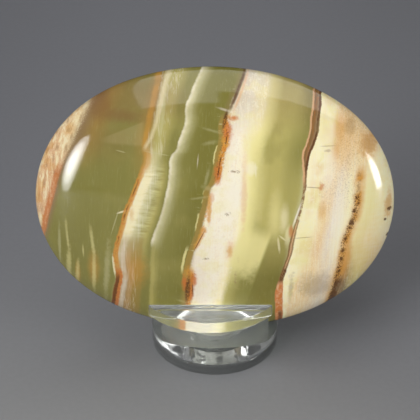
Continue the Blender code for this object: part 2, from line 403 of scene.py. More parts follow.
    def patch(at_x, at_z, reach_x, reach_z, soft=0.4, ragged=0.5, slant_x=0, slant_z=0):
        """A soft blot on the front face. The slants are how x grows with z and z with x."""
        scale = Vector((1 / reach_x, 1, 1 / reach_z))
        start = Vector((slant_x * at_z - at_x, 0, slant_z * at_x - at_z))
        if slant_x or slant_z:
            lean = Vector((-slant_x * scale.x, 0, -slant_z * scale.z))
            shift = recipe.vector_math("MULTIPLY_ADD", cross, tuple(lean), tuple(start * scale))
        else:
            shift = tuple(start * scale)
        spot = recipe.vector_math("MULTIPLY_ADD", flat, tuple(scale), shift)
        away = recipe.vector_math("LENGTH", spot)
        return rise(away.math("MULTIPLY_ADD", wobble, ragged, away), 1 + soft, 1 - soft)

    def streak(start_x, start_z, end_x, end_z, half, soft=0.5, ragged=0.6):
        """The values of a patch that is a thin streak, tapering a little past both ends."""
        start, end = Vector((start_x, start_z)), Vector((end_x, end_z))
        run, middle = start - end, (start + end) / 2
        reach = max(abs(run.x), abs(run.y)) / 2 + 0.2
        if abs(run.x) < abs(run.y):
            return *middle, half, reach, soft, ragged, run.x / run.y
        return *middle, reach, half, soft, ragged, 0, run.y / run.x

    def marks(name, strength, *spots):
        """Paints several marks in one colour, each given by the values of a patch."""
        together = patch(*spots[0])
        for spot in spots[1:]:
            together = together.over(patch(*spot))
        paint(together * strength, name)

    # Texture inside the zones: clouds in the green, fibres in the pale bands, grains in the sandy one
    green = (zone(1.05, 2) + zone(2.6, 4) + zone(5.25, 6)).clamped()
    chalky = zone(4.02, 5)
    sandy = zone(6.95, 8, 0.2)
    paint(rise(cloud, 0.5, 0.7) * green * 0.2, "moss")
    paint(rise(cloud, 0.5, 0.34) * green * 0.3, "deep_olive")
    paint(rise(fine, 0.72, 0.8) * green * 0.25, "celadon")
    colour = mix(0.07 - 0.03 * green, colour, recipe.grey((layer - 0.5) * 2 + 0.5), "SOFT_LIGHT")
    fibres = zone(2, 2.8, 0.1) * between(-5, 9) * 0.5 + zone(7.9, 9, 0.2) * 0.25
    colour = mix(fibres, colour, recipe.grey((silk - 0.5) * 2.6 + 0.5), "SOFT_LIGHT")
    colour = mix(sandy * 0.2, colour, recipe.grey((strands - 0.5) * 2.4 + 0.5), "SOFT_LIGHT")
    paint(rise(z, 14, 22) * zone(3.9, 6) * 0.34, "clay")
    paint(rise(grain, 0.52, 0.66) * chalky * 0.5, "rose")
    paint(rise(drift, 0.46, 0.64) * (chalky * 0.4 + zone(6.05, 7) * 0.6), "lemon")
    paint(rise(cloud, 0.47, 0.6) * zone(6.3, 7.3, 0.2) * (0.1 + strands * 0.5), "peach")
    paint(rise(grain, 0.48, 0.34) * (chalky + zone(6.05, 7)) * 0.4, "ivory")
    paint(zone(2, 2.75) * rise(z, -3.6, -7) * 0.6, "bronze")
    paint(rise(fine, 0.52, 0.64) * sandy * (0.08 + rise(z, -2, 6) * 0.28), "clay")
    paint(rise(fine, 0.46, 0.34) * sandy * 0.55, "cream")
    paint(rise(fine, 0.52, 0.68) * chalky * 0.3, "fawn")
    paint(rise(fine, 0.5, 0.36) * zone(0, 1) * 0.35, "cream")
    paint(rise(stripes, 0.52, 0.66) * (zone(6.9, 9) * 0.25 + zone(4.1, 5) * 0.15), "fawn")
    paint(rise(stripes, 0.5, 0.36) * (zone(6.1, 9) + zone(4.1, 5) + zone(2.05, 2.6)) * 0.3, "ivory")
    paint(rise(strands, 0.55, 0.7) * green * 0.1, "celadon")

    # Left cap, with its orange edge, and the brown stain above the first vein
    from_cap = across - cap
    paint(rise(flow, 0.48, 0.62) * zone(0, 0.95) * 0.8, "cream")
    paint(rise(flow, 0.48, 0.34) * zone(0, 0.95) * 0.5, "clay")
    paint(rise(drift, 0.5, 0.62) * zone(0, 0.9) * 0.4, "amber")
    rim_stain = near(from_cap, -0.4, 0.3, 0.5) * rise(z, 9, 5)
    paint(rim_stain * (0.35 + grain * 0.7), "rust")
    marks("sepia", 0.55, (-22.5, 19.4, 2, 2.6, 0.6), (-19, 18, 4.5, 1, 0.9))
    marks("sepia", 0.45, (-17, 21.5, 9, 3.6, 0.7))
    marks("sepia", 0.25, (-21.5, 13.5, 5, 3.5, 0.9))
    plane = rise(z - (x + 22) * 0.47, 13.7, 13.3) * rise(z, 12.4, 13.2)
    paint(plane * rise(x, -22.5, -20) * rise(x, -13.6, -14.6) * front * 0.1, "fawn")

    # Pale inclusions low on the left
    marks("amber", 0.4, (-23.2, -12.8, 1, 3, 0.7), (-26.4, -14.6, 0.5, 2.2, 0.7))
    marks("lemon", 0.5, streak(-28.6, -4.3, -28.1, -10, 0.24, 0.8, 1.2),
          streak(-28.1, -9, -28.3, -15.6, 0.42, 0.8, 1.2),
          streak(-23.7, -5, -23, -10.4, 0.3, 0.8, 1.2),
          streak(-23.1, -9, -23.2, -17.6, 0.34, 0.8, 1.2),
          streak(-26.3, -12.3, -26.6, -16.6, 0.34, 0.8, 1.2),
          streak(-25.3, -8.4, -25.2, -10.3, 0.16, 0.8))
    marks("celadon", 0.45, streak(-20.4, -9, -20.9, -19.5, 0.5, 0.8, 1.4),
          streak(-18.4, 0, -19.7, -4.8, 0.12), streak(-30, -5, -30, -12.5, 0.3),
          streak(-18.8, 11.6, -17.6, 11.4, 0.12))
    marks("cream", 0.8, streak(-19.4, -10, -19, -13.6, 0.22), streak(-18.4, -0.5, -16.9, 0.1, 0.2))

    # First vein: a wide amber glow above, thin and rusty at the middle, thick and dark at its foot
    from_a = across - vein_a
    paint(near(from_a, -0.1, 0.2, 0.6) * rise(z, 10, 14) * (drift * 0.7), "amber")
    paint(near(from_a, 0.2, 0.3, 0.8) * between(8, 12) * 0.5, "amber")
    paint(near(from_a, 1.4, 0.5, 0.6) * between(-4.6, 8, 1.4) * rise(silk, 0.28, 0.58) * 0.85, "cream")
    thin = near(from_a, -0.05, 0.3, 0.4) * between(-12.5, 8, 2)
    paint(thin * 0.85, "amber")
    paint(thin * rise(grain, 0.48, 0.62) * 0.45, "rust")
    paint(near(from_a, -0.1, 0.06, 0.16) * between(-9, 6) * rise(drift, 0.42, 0.6) * 0.65, "umber")
    thick = near(from_a, 0.1, 0.5, 0.35) * rise(z, -11.6, -13.4)
    paint(thick * 0.9, "rust")
    paint(thick * rise(grain, 0.5, 0.62) * 0.6, "amber")
    paint(near(from_a, -0.25, 0.2, 0.3) * rise(z, -12.6, -15) * 0.8, "umber")
    paint(near(from_a, 1.3, 0.1, 0.7) * rise(z, -4.6, -7.6) * (0.1 + drift * 0.8), "rose")
    paint(near(from_a, 2.4, 0.1, 0.8) * rise(z, -6, -9) * (drift * 0.5), "peach")
    marks("amber", 0.4, (-15, -12.4, 1.9, 3, 0.8, 0.9), (-15.9, -0.5, 0.4, 1.3, 0.8, 1.4))

    # Pale line that runs up from the first vein, and a level hairline beside it
    bright = line("27 -9, 25 -9.9, 21 -10.9, 17 -11.7, 15 -12.3, 12 -13.7, -27 -16")
    wide = 0.2 * rise(z, 14, 22)
    paint(rise(abs(across - bright) - wide, 0.7, -0.1) * rise(z, 11.5, 13) * 0.5, "cream")
    marks("celadon", 0.5, streak(-10.2, 21.5, -10.9, 14, 0.35), streak(-13, 11.8, -9.6, 11.4, 0.12))

    # Second vein: a white sheet with a crisp left edge, which fades out below
    from_b = across - vein_b
    sheet = rise(from_b, -0.2, 0.12) * rise(z, -7.4, -5.2)
    paint(rise(from_b, -0.3, 0.3) * rise(from_b, 2.8, 0.8) * rise(z, -9, -5) * 0.45, "celadon")
    faded = 0.55 + 0.45 * rise(drift, 0.4, 0.6)
    paint(sheet * rise(from_b, 1.7, 0.2) * faded * 0.55, "cream")
    paint(sheet * rise(from_b, 0.7, 0.1) * faded * 0.5, "ivory")
    paint(near(from_b, 0.5, 0.2, 0.3) * rise(z, -6, -8) * 0.4, "moss")

    # Third vein: brown and orange patches between the green and the chalk
    from_c = across - vein_c
    paint(near(from_c, -0.55, 0.4, 0.3) * between(-12, 19) * 0.75, "bronze")
    paint(near(from_c, -0.3, 0.1, 0.25) * between(-12, 19) * rise(drift, 0.42, 0.58) * 0.15, "sepia")
    paint(near(from_c, -1.15, 0.05, 0.16) * between(-3, 14) * rise(drift, 0.46, 0.58) * 0.7, "lemon")
    paint(near(from_c, -1.5, 0.14, 0.2) * between(-12, -7) * 0.8, "lemon")
    stain = near(from_c, 0.35, 0.25, 0.35) * (between(6.5, 19) + rise(z, -11, -13)).clamped()
    paint(stain * rise(grain, 0.36, 0.5), "amber")
    paint(stain * rise(grain, 0.48, 0.62) * 0.6, "rust")
    paint(near(from_c, 0.2, 0.1, 0.3) * between(-7, 5) * rise(grain, 0.45, 0.6) * 0.7, "amber")
    whisker = rise(silk, 0.56, 0.7) * rise(from_c, -2.6, -0.8) * rise(from_c, 0.2, -0.2)
    paint(whisker * rise(drift, 0.5, 0.42) * 0.7, "celadon")
    marks("rose", 0.5, streak(0.2, 20.3, 2.2, 19.8, 0.2, 0.8), streak(-3.6, 11.4, -3.7, 9.7, 0.1, 0.8))
    marks("celadon", 0.28, *(streak(*ends, 0.9, 1.6) for ends in (
        (-2.4, 16.6, 0.2, 16, 0.2), (-2.2, 13.9, -0.6, 14.2, 0.3), (-1.6, 8.6, -2.2, 5.8, 0.24),
        (-4.2, 3.3, -1.8, 3.7, 0.2), (-2.2, 5.6, -0.4, 5.1, 0.4), (-6.6, -18.8, -4.8, -19.4, 0.3))))
    marks("amber", 0.8, (1.4, 14.2, 0.6, 1, 0.6, 1.5), (0.6, 11.2, 0.4, 1.3, 0.6, 1.5),
          (-1.1, 1.2, 0.4, 2.6, 0.6, 1.5), (-2.1, -3, 0.6, 0.6, 0.6, 1.5),
          (-2.7, -4.8, 0.5, 1.7, 0.6, 1.5, 0.4), (-4.7, -12.4, 0.9, 1.5, 0.6, 1.5))
    marks("rust", 0.85, *((*spot, 0.6, 1.5) for spot in (
        (2.7, 18.7, 0.9, 0.45), (1.8, 16.4, 0.75, 1.3), (0.3, 8.6, 0.6, 2), (-3.7, -14, 0.55, 1.4),
        (-5.4, -14.4, 0.5, 1.4), (-4.1, -17, 0.4, 2.2))))
    marks("peach", 0.6, streak(5.3, 26.5, 3, 20.4, 0.3), (-0.7, 3.6, 0.4, 1, 0.35, 0.9))
    marks("umber", 0.85, streak(4.7, 26.5, 2.2, 20.4, 0.34), streak(1.5, 19.8, 1, 17.2, 0.34),
          streak(1.7, 15.5, 1.5, 14, 0.1), streak(0.7, 11.5, 0.4, 9.7, 0.12),
          streak(0.45, 9.7, 0.2, 7.8, 0.14), streak(-2.1, -3.6, -3.6, -7, 0.1),
          streak(-4.6, -12.8, -4.9, -19.4, 0.42), streak(-3.9, -14.8, -3.7, -17.2, 0.12))

    flecked = near(from_c, 0.3, 0.5, 0.5) * (between(7, 19) + rise(z, -11, -13))
    paint(rise(fine, 0.46, 0.36) * flecked * 0.6, "amber")
    paint(rise(fine, 0.54, 0.64) * flecked * 0.5, "umber")

    # Chalk band: a peach line at its right, orange stains and grey pores
    marks("ivory", 0.7, (3, 3.6, 1.9, 3.6, 0.6))
    marks("peach", 0.5, streak(5.3, 11, 5.4, -1.5, 0.45, 0.9, 2.2), (3.1, -7.2, 0.8, 1.6, 0.8, 1.8))
    marks("amber", 0.6, (3.1, -7.2, 0.5, 1.1, 0.8, 1.8))
    marks("clay", rise(fine, 0.44, 0.54) * 0.7, *((*spot, 0.5, 2.5) for spot in (
        (2.5, 0.5, 0.5, 0.35), (3.2, 8.8, 1, 0.22), (-1.7, -9, 0.7, 0.22), (4.8, -9.4, 0.25, 1),
        (4.4, -13, 0.25, 1.6), (8, -9.2, 0.5, 0.3))))

    # Clear zone right of the chalk: yellow and pale clouds, a hairline and a dark wedge below
    marks("lemon", 0.5, (6.9, 14.6, 1.5, 3.4, 0.7), (11.4, 0.2, 1.1, 4.2, 0.9))
    marks("olive", 0.35, (14.2, 8, 1.8, 10, 0.8))
    slant = x - (z + 4) * 0.28 - 10.8
    pale = rise(slant, 0.2, -0.5) * rise(from_c, 6.6, 8.2)
    ragged_z = z + (drift - 0.5) * 7 + (grain - 0.5) * 3
    paint(pale * rise(ragged_z, -15.5, -9) * rise(level, -2, -6) * front * 0.75, "lemon")
    paint(rise(slant, -0.1, 0.4) * rise(z, -3, -6) * zone(5, 5.97) * front * 0.35, "bottle")
    marks("ivory", 0.5, (6.4, 9.4, 1, 1.3, 0.5), streak(7.2, 10.4, 7.4, 8, 0.12))
    marks("cream", 0.45, streak(12.2, -4.4, 12.6, -7, 0.22), streak(12.6, -4, 13.9, -5, 0.22),
          (14, -3.8, 0.5, 2, 0.7), (13.2, -0.4, 0.7, 2.4, 0.8))

    # Fourth vein: striped brown above, a thin broken line at the middle, rusty at its foot
    from_f = across - vein_f
    half = 0.22 + 0.55 * rise(z, 8, 14) + 0.12 * rise(z, -1, -4) + 0.3 * rise(z, -13, -16)
    body = rise(abs(from_f) - half, 0.18, 0)
    broken = 1 - between(-1.5, 6) * rise(grain, 0.46, 0.56) * 0.5
    paint(body * broken * 0.9, "sepia")
    paint(body * rise(stripes, 0.5, 0.62) * rise(z, 7, 10) * 0.3, "rust")
    paint(near(from_f - half * 0.75, 0, 0.1, 0.2) * rise(z, 7, 10) * 0.85, "umber")
    paint(near(from_f + half, 0, 0.1, 0.16) * rise(z, 5, 8) * 0.8, "peach")
    paint(near(from_f, 0, 0.05, 0.12) * between(-11, -1) * 0.7, "peach")
    foot_f = body * rise(z, -13.4, -15)
    paint(foot_f * 0.9, "peach")
    paint(foot_f * rise(grain + stripes * 0.5, 0.5, 0.84) * 0.9, "rust")
    paint(near(from_f, 0.1, 0.2, 0.25) * between(-13.8, -10.8, 0.6) * rise(fine, 0.42, 0.52), "umber")
    paint(near(from_f, 0.2, 0.2, 0.3) * rise(z, -20.5, -22) * 0.7, "umber")
    marks("ivory", 0.7, streak(16.2, 2.6, 15, -1.6, 0.2))

    # Cream and sandy bands
    marks("lemon", 0.4, (20, 17, 1, 2.4, 0.7), (17.2, -6.4, 1.6, 5, 0.7), (29, -9.6, 2.2, 3.2, 0.8),
          (30.5, 2, 2.6, 7, 0.8))
    marks("amber", 0.45, (23, 17, 1, 2.6, 0.7), (22.4, 12.8, 0.7, 1.6, 0.7),
          (20.3, 1.2, 0.7, 1.8, 0.7))
    marks("ivory", 0.55, (21.4, 9, 1.3, 5, 0.8, 0.9), (23.6, -0.5, 1.2, 6, 0.8, 0.9))
    marks("rust", 0.65, (19.9, 5.8, 0.6, 0.9, 0.5, 2.4), (14.6, -3, 0.4, 1.1, 0.6))
    marks("clay", 0.45, (25, 16.8, 1, 1.4, 0.6), (20.6, -15, 3.6, 2.6, 0.6, 0.9),
          (20.9, 12.7, 0.6, 0.3, 0.5, 1.8), (15.4, -15.6, 0.5, 2.6, 0.6, 1.8))
    marks("sepia", 0.5, streak(17.2, 5.9, 19.6, 5.7, 0.1), streak(15.6, -4.4, 18.4, -4.2, 0.08),
          streak(19.8, 13.6, 22.2, 13.6, 0.08))

    # Fifth vein: an amber glow with a chain of black brown specks
    from_h = across - vein_h
    glow = rise(drift, 0.38, 0.6) * 0.4 + 0.55
    paint(near(from_h, 2.4, 0.5, 1.6) * between(-9, 6, 3) * 0.5, "lemon")
    paint(near(from_h, 0.2, 0.2, 1.5) * rise(z, 11, 7) * glow, "amber")
    paint(near(from_h, 0, 0.15, 0.5) * rise(z, 9.4, 8) * rise(grain, 0.42, 0.6) * 0.45, "sepia")
    crumbs = rise(fine, 0.49, 0.56) * near(from_h, 0, 0.35, 0.55) * rise(z, 5.2, 3.6)
    paint(crumbs * 0.85, "umber")
    marks("amber", 0.6, (25.9, -9, 0.9, 3.6, 0.7), (28.9, 13.4, 1.9, 2.1, 0.6, 1.2),
          (33.6, 1.4, 0.7, 2.2, 0.7, 1.6), (29, 13.2, 1.5, 1.8, 0.5, 1.2))
    marks("sepia", 0.2, (29, 13.2, 1.2, 1.4, 0.7, 1.6))
    marks("amber", 0.22, (29.5, -9, 4, 7, 0.8))
    marks("amber", 0.35, (24, 15, 2.6, 4.5, 0.9))
    marks("umber", 0.85, *((place, height, size * 0.6, size * 0.8, 0.4, 3.2) for place, height, size in (
        (27, 3.4, 0.5), (27.5, 2.2, 0.3), (26.7, 0.8, 0.55), (26.3, -1.6, 0.6), (26, -2.6, 0.4),
        (25.4, -4.9, 0.6), (25, -7.4, 0.45), (24.9, -9.2, 0.45), (24.7, -12, 0.45), (33.9, 0.3, 0.5),
        (33.2, -1.8, 0.35), (34, -5.4, 0.5))))
    paint(near(from_h, 0.4, 0.5, 0.4) * rise(z, -12.6, -15) * 0.85, "umber")
    marks("clay", 0.6, (25.4, -16.6, 0.9, 1.4, 0.4, 2.6))

    # Painted shade: darker towards the left end, standing in for the light that goes through the stone and
    # comes out at the right
    colour = mix(span(x, 12, -30) * 0.32, colour, (0, 0, 0))
    return recipe.finish(
        Base_Color=colour, Roughness=0.07 + chalky * grain * 0.12, IOR=1.55, Subsurface_Weight=0.25,
        Subsurface_Radius=(1, 0.8, 0.4), Subsurface_Scale=0.8 * MM,
        Normal=recipe.bump(fine * 0.1 + grain * 0.1, 0.02 * MM, 0.6))


def clear_acrylic(settings):
    """Clear polished plastic with faint scratches, which lets light through to the floor."""
    if "cast_acrylic" in bpy.data.materials:
        return bpy.data.materials["cast_acrylic"]
    recipe = Recipe("cast_acrylic")
    spot = recipe.place()
    haze = recipe.noise(spot, 260, 3)
    scratch = recipe.noise(recipe.mapped(spot, scale=(5200, 300, 700)), 1.0, 2)
    wave = recipe.noise(spot, 380, 2)
    recipe.finish(
        Base_Color=tuple(settings.clear), Transmission_Weight=0.97, IOR=1.49,
        Roughness=0.015 + recipe.rise(haze, 0.45, 0.8) * 0.04,
        Normal=recipe.bump(scratch * 0.07 + wave, 0.03 * MM, 1.0))
    pass_light = recipe.node("ShaderNodeBsdfTransparent", values={0: tuple(settings.clear)})
    shadow = recipe.node("ShaderNodeLightPath", output="Is Shadow Ray")
    both = recipe.node("ShaderNodeMixShader", values={0: shadow * 0.9, 2: pass_light})
    recipe.join(recipe.shader.outputs[0], both.socket.node.inputs[1])
    recipe.join(both, recipe.end.inputs["Surface"])
    return recipe.material


def screw_steel(settings):
    """Bright plated steel with turning marks, darker in the roots of the thread."""
    recipe = Recipe("plated_steel")
    x, y, z = recipe.split(recipe.place())
    reach = (x * x + y * y).root() / MM
    rings = recipe.noise(recipe.vector(reach * 0.6, reach * 0.4, z / MM * 5), 1.0, 2)
    stains = recipe.noise(recipe.mapped(recipe.place(), scale=(800, 800, 300)), 1.0, 2)
    # Darker in the roots of the thread, below the head
    thread_roots = recipe.rise(reach, 2.45, 2.15) * recipe.rise(z, 2.7 * MM, 2.5 * MM)
    dark = (thread_roots * 0.9).over(recipe.rise(rings * 0.5 + stains * 0.5, 0.47, 0.58) * 0.9)
    return recipe.finish(
        Base_Color=recipe.mix(dark, tuple(settings.steel), tone(52, 50, 46)), Metallic=0.5,
        Roughness=0.15 + stains * 0.2, Normal=recipe.bump(rings, 0.01 * MM, 0.6))


def start_piece():
    """Leaves edit mode and selects nothing, so that the next operator acts on its own piece alone."""
    if bpy.context.object and bpy.context.object.mode != "OBJECT":
        bpy.ops.object.mode_set(mode="OBJECT")
    bpy.ops.object.select_all(action="DESELECT")


def only(piece):
    """Makes the piece the active one and the only one selected."""
    start_piece()
    piece.select_set(True)
    bpy.context.view_layer.objects.active = piece


def add_cylinder(radius, low, high, middle=(0, 0), vertices=ROUND):
    """Adds an upright cylinder between two heights, with its place in its mesh."""
    start_piece()
    bpy.ops.mesh.primitive_cylinder_add(vertices=vertices, radius=radius, depth=high - low,
                                        location=(*middle, (low + high) / 2))
    bpy.ops.object.transform_apply(location=True)
    return bpy.context.object


def edit(kind="FACE"):
    bpy.ops.object.mode_set(mode="EDIT")
    bpy.ops.mesh.select_mode(type=kind)


def pick(kind, test):
    """Selects the faces, edges or vertices, in edit mode, that pass a test of the item and its corners."""
    piece = bpy.context.object
    bpy.ops.mesh.select_mode(type=kind)
    bpy.ops.mesh.select_all(action="DESELECT")
    bpy.ops.object.mode_set(mode="OBJECT")
    mesh = piece.data
    items = {"FACE": mesh.polygons, "EDGE": mesh.edges, "VERT": mesh.vertices}[kind]
    found = [item for item in items if test(
        item, [item.co] if kind == "VERT" else [mesh.vertices[number].co for number in item.vertices])]
    for item in found:
        item.select = True
    bpy.ops.object.mode_set(mode="EDIT")
    if not found:
        raise RuntimeError(f"{piece.name}: nothing to select")


def extrude(height):
    bpy.ops.mesh.extrude_region_move(TRANSFORM_OT_translate={"value": (0, 0, height)})


def widen(factor):
    """Scales the selection about the upright axis."""
    bpy.ops.transform.resize(value=(factor, factor, 1), center_override=(0, 0, 0))


def bevel(width, segments=3):
    bpy.ops.mesh.bevel(offset=width, segments=segments, affect="EDGES")


def bevel_rims(radius):
    """Rounds the upper and lower outer rims of a cylinder."""
    pick("EDGE", lambda edge, ends: all(hypot(end.x, end.y) > radius - CLOSE for end in ends)
         and abs(ends[0].z - ends[1].z) < CLOSE)
    bevel(RIM_BEVEL)


def clean_up():
    """Merges doubles and turns the faces outwards, then leaves edit mode."""
    bpy.ops.mesh.select_all(action="SELECT")
    bpy.ops.mesh.remove_doubles(threshold=DOUBLE)
    bpy.ops.mesh.normals_make_consistent(inside=False)
    bpy.ops.object.mode_set(mode="OBJECT")


def combine(piece, other, operation):
    """Cuts one piece with another or joins the two. The other one is then removed."""
    trim = piece.modifiers.new(operation, "BOOLEAN")
    trim.operation, trim.solver, trim.object = operation, "EXACT", other
    only(piece)
    bpy.ops.object.modifier_apply(modifier=trim.name)
    bpy.data.objects.remove(other)


def seat(piece, name, node, body, material, sharp=radians(40)):
    """Puts the piece's place in its mesh, smooths it, names it and ties it to the frame."""
    only(piece)
    bpy.ops.object.transform_apply(location=True, rotation=True, scale=True)
    bpy.ops.object.shade_smooth_by_angle(angle=sharp)
    piece.name = piece.data.name = name
    piece.data.materials.clear()
    piece.data.materials.append(material)
    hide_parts(node)
    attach(piece, body)


class STONE_OT_polished(bpy.types.Operator):
    """Add the polished banded stone, leaning back in its slot"""
    bl_idname = "palm_stone.polished_stone"
    bl_label = "Polished Stone"
    bl_options = {"REGISTER", "UNDO"}

    def execute(self, context):
        settings = context.scene.palm_stone
        start_piece()
        bpy.ops.mesh.primitive_uv_sphere_add(segments=ROUND, ring_count=ROUND // 2, radius=0.5,
                                             rotation=(pi / 2, 0, 0))
        piece = context.object
        bpy.ops.object.transform_apply(rotation=True)
        edit("VERT")

        # The points near the four diagonals are pulled out, and their neighbours follow
        step, pole = pi / ROUND, 0.01
        pick("VERT", lambda vert, ends: hypot(vert.co.x, vert.co.z) > pole
             and abs(abs(atan2(vert.co.z, vert.co.x)) % (pi / 2) - pi / 4) < step)
        swell = settings.fullness
        bpy.ops.transform.resize(value=(swell, 1, swell), center_override=(0, 0, 0),
                                 use_proportional_edit=True, proportional_edit_falloff="SMOOTH",
                                 proportional_size=0.36)
        bpy.ops.mesh.select_all(action="SELECT")
        bpy.ops.transform.resize(value=(settings.length, settings.thickness, settings.height),
                                 center_override=(0, 0, 0))
        clean_up()
        piece.rotation_euler = stone_turn(settings)
        piece.location = settings.middle
        seat(piece, "polished_stone", "stone", "stone", banded_calcite(settings), pi)
        return {"FINISHED"}


class STONE_OT_cradle(bpy.types.Operator):
    """Add the clear slotted cradle"""
    bl_idname = "palm_stone.cradle"
    bl_label = "Clear Cradle"
    bl_options = {"REGISTER", "UNDO"}

    def execute(self, context):
        low, high = BOX["cradle"]
        radius = (high.x - low.x) / 2
        sink, seat_height, seat_depth = 4.1 * MM, 0.4 * MM, 0.2 * MM
        slot_depth, front, rear = 6.2 * MM, BOX["front_jaw"][1].y, BOX["rear_jaw"][0].y
        piece = add_cylinder(radius, low.z, high.z)
        edit()
        pick("FACE", lambda face, ends: face.normal.z > 0.9)
        bpy.ops.mesh.inset(thickness=radius - sink)
        extrude(low.z + seat_height - high.z)
        extrude(-seat_depth)
        widen(HOLE / sink)
        bpy.ops.mesh.delete(type="FACE")
        pick("FACE", lambda face, ends: face.normal.z < -0.9 and len(ends) > 4)
        bpy.ops.mesh.inset(thickness=radius - HOLE)
        bpy.ops.mesh.delete(type="FACE")
        bpy.ops.mesh.select_mode(type="EDGE")
        bpy.ops.mesh.select_all(action="DESELECT")
        bpy.ops.mesh.select_non_manifold()
        bpy.ops.mesh.bridge_edge_loops()
        bevel_rims(radius)
        clean_up()
        start_piece()
        bpy.ops.mesh.primitive_cube_add(size=1, location=(0, (front + rear) / 2, high.z))
        slot = context.object
        slot.scale = (3 * radius, rear - front, 2 * slot_depth)
        combine(piece, slot, "DIFFERENCE")
        seat(piece, "clear_cradle", "cradle", "cradle",
             clear_acrylic(context.scene.palm_stand))
        return {"FINISHED"}


class STONE_OT_jaws(bpy.types.Operator):
    """Add the two D-shaped plates beside the slot"""
    bl_idname = "palm_stone.jaws"
    bl_label = "Clear Jaws"
    bl_options = {"REGISTER", "UNDO"}

    def execute(self, context):
        radius, corner, rounding = context.scene.palm_stand.jaw_width / 2, 0.5 * MM, 0.13 * MM
        for node, side in (("front_jaw", -1), ("rear_jaw", 1)):
            low, high = BOX[node]
            rim, chord = (low.y, high.y) if side < 0 else (high.y, low.y)
            piece = add_cylinder(radius, low.z, high.z, ((low.x + high.x) / 2, rim - side * radius), 256)
            edit()
            bpy.ops.mesh.select_all(action="SELECT")
            bpy.ops.mesh.bisect(plane_co=(0, chord, 0), plane_no=(0, -side, 0), use_fill=True,
                                clear_outer=True, threshold=0.1 * CLOSE)
            pick("EDGE", lambda edge, ends: all(abs(end.y - chord) < CLOSE for end in ends)
                 and abs(ends[0].z - ends[1].z) > MM)
            bevel(corner, 5)
            clean_up()
            soften = piece.modifiers.new("soften", "BEVEL")
            soften.width, soften.segments = rounding, 3
            soften.limit_method, soften.angle_limit = "ANGLE", radians(60)
            bpy.ops.object.modifier_apply(modifier=soften.name)
            seat(piece, "clear_" + node, node, "cradle",
                 clear_acrylic(context.scene.palm_stand))
        return {"FINISHED"}


class STONE_OT_foot(bpy.types.Operator):
    """Add the thin clear foot with its blind screw hole"""
    bl_idname = "palm_stone.foot"
    bl_label = "Clear Foot"
    bl_options = {"REGISTER", "UNDO"}

    def execute(self, context):
        low, high = BOX["foot"]
        radius, hole_floor = (high.x - low.x) / 2, 0.5 * MM
        piece = add_cylinder(radius, low.z, high.z)
        edit()
        pick("FACE", lambda face, ends: face.normal.z > 0.9)
        bpy.ops.mesh.inset(thickness=radius - HOLE)
        extrude(hole_floor - high.z)
        bevel_rims(radius)
        clean_up()
        seat(piece, "clear_foot", "foot", "foot", clear_acrylic(context.scene.palm_stand))
        return {"FINISHED"}


class STONE_OT_screw(bpy.types.Operator):
    """Add the countersunk screw with its rolled thread"""
    bl_idname = "palm_stone.screw"
    bl_label = "Stand Screw"
    bl_options = {"REGISTER", "UNDO"}

    def execute(self, context):
        low, high = BOX["screw"]
        head = (high.x - low.x) / 2
        crest, depth, pitch, cone = 2.5 * MM, 0.45 * MM, 0.8 * MM, 1.3 * MM
        across_flats, socket_depth, head_bevel, overlap = 2.5 * MM, 1.2 * MM, 0.12 * MM, 0.1 * MM
        shank = high.z - low.z - cone
        piece = add_cylinder(crest - depth, low.z, low.z + shank, vertices=96)
        edit()
        pick("FACE", lambda face, ends: face.normal.z > 0.9)
        extrude(0)
        widen(crest / (crest - depth))
        extrude(cone)
        widen(head / crest)
        pick("EDGE", lambda edge, ends: all(end.z > high.z - CLOSE for end in ends))
        bevel(head_bevel)
        clean_up()
        socket = add_cylinder(across_flats / sqrt(3), high.z - socket_depth, high.z + socket_depth,
                              vertices=6)
        combine(piece, socket, "DIFFERENCE")

        # The thread is a triangle, with its tip outwards, which climbs round the shank
        start_piece()
        bpy.ops.mesh.primitive_circle_add(vertices=3, radius=1, rotation=(-pi / 2, -pi / 2, 0))
        thread = context.object
        bpy.ops.object.transform_apply(rotation=True)
        edit("VERT")
        bpy.ops.mesh.select_all(action="SELECT")
        height = (depth + overlap) / 1.5
        bpy.ops.transform.resize(value=(height, 1, pitch * 0.98 / sqrt(3)), center_override=(0, 0, 0))
        bpy.ops.transform.translate(value=(crest - height, 0, low.z + pitch / 2))
        bpy.ops.object.mode_set(mode="OBJECT")
        coil = thread.modifiers.new("coil", "SCREW")
        coil.screw_offset, coil.iterations, coil.steps, coil.render_steps = pitch, 2, 64, 64
        bpy.ops.object.modifier_apply(modifier=coil.name)
        edit("EDGE")
        bpy.ops.mesh.select_all(action="SELECT")
        bpy.ops.mesh.fill_holes(sides=0)
        clean_up()
        combine(piece, thread, "UNION")
        seat(piece, "stand_screw", "screw", "foot", screw_steel(context.scene.palm_stand))
        return {"FINISHED"}


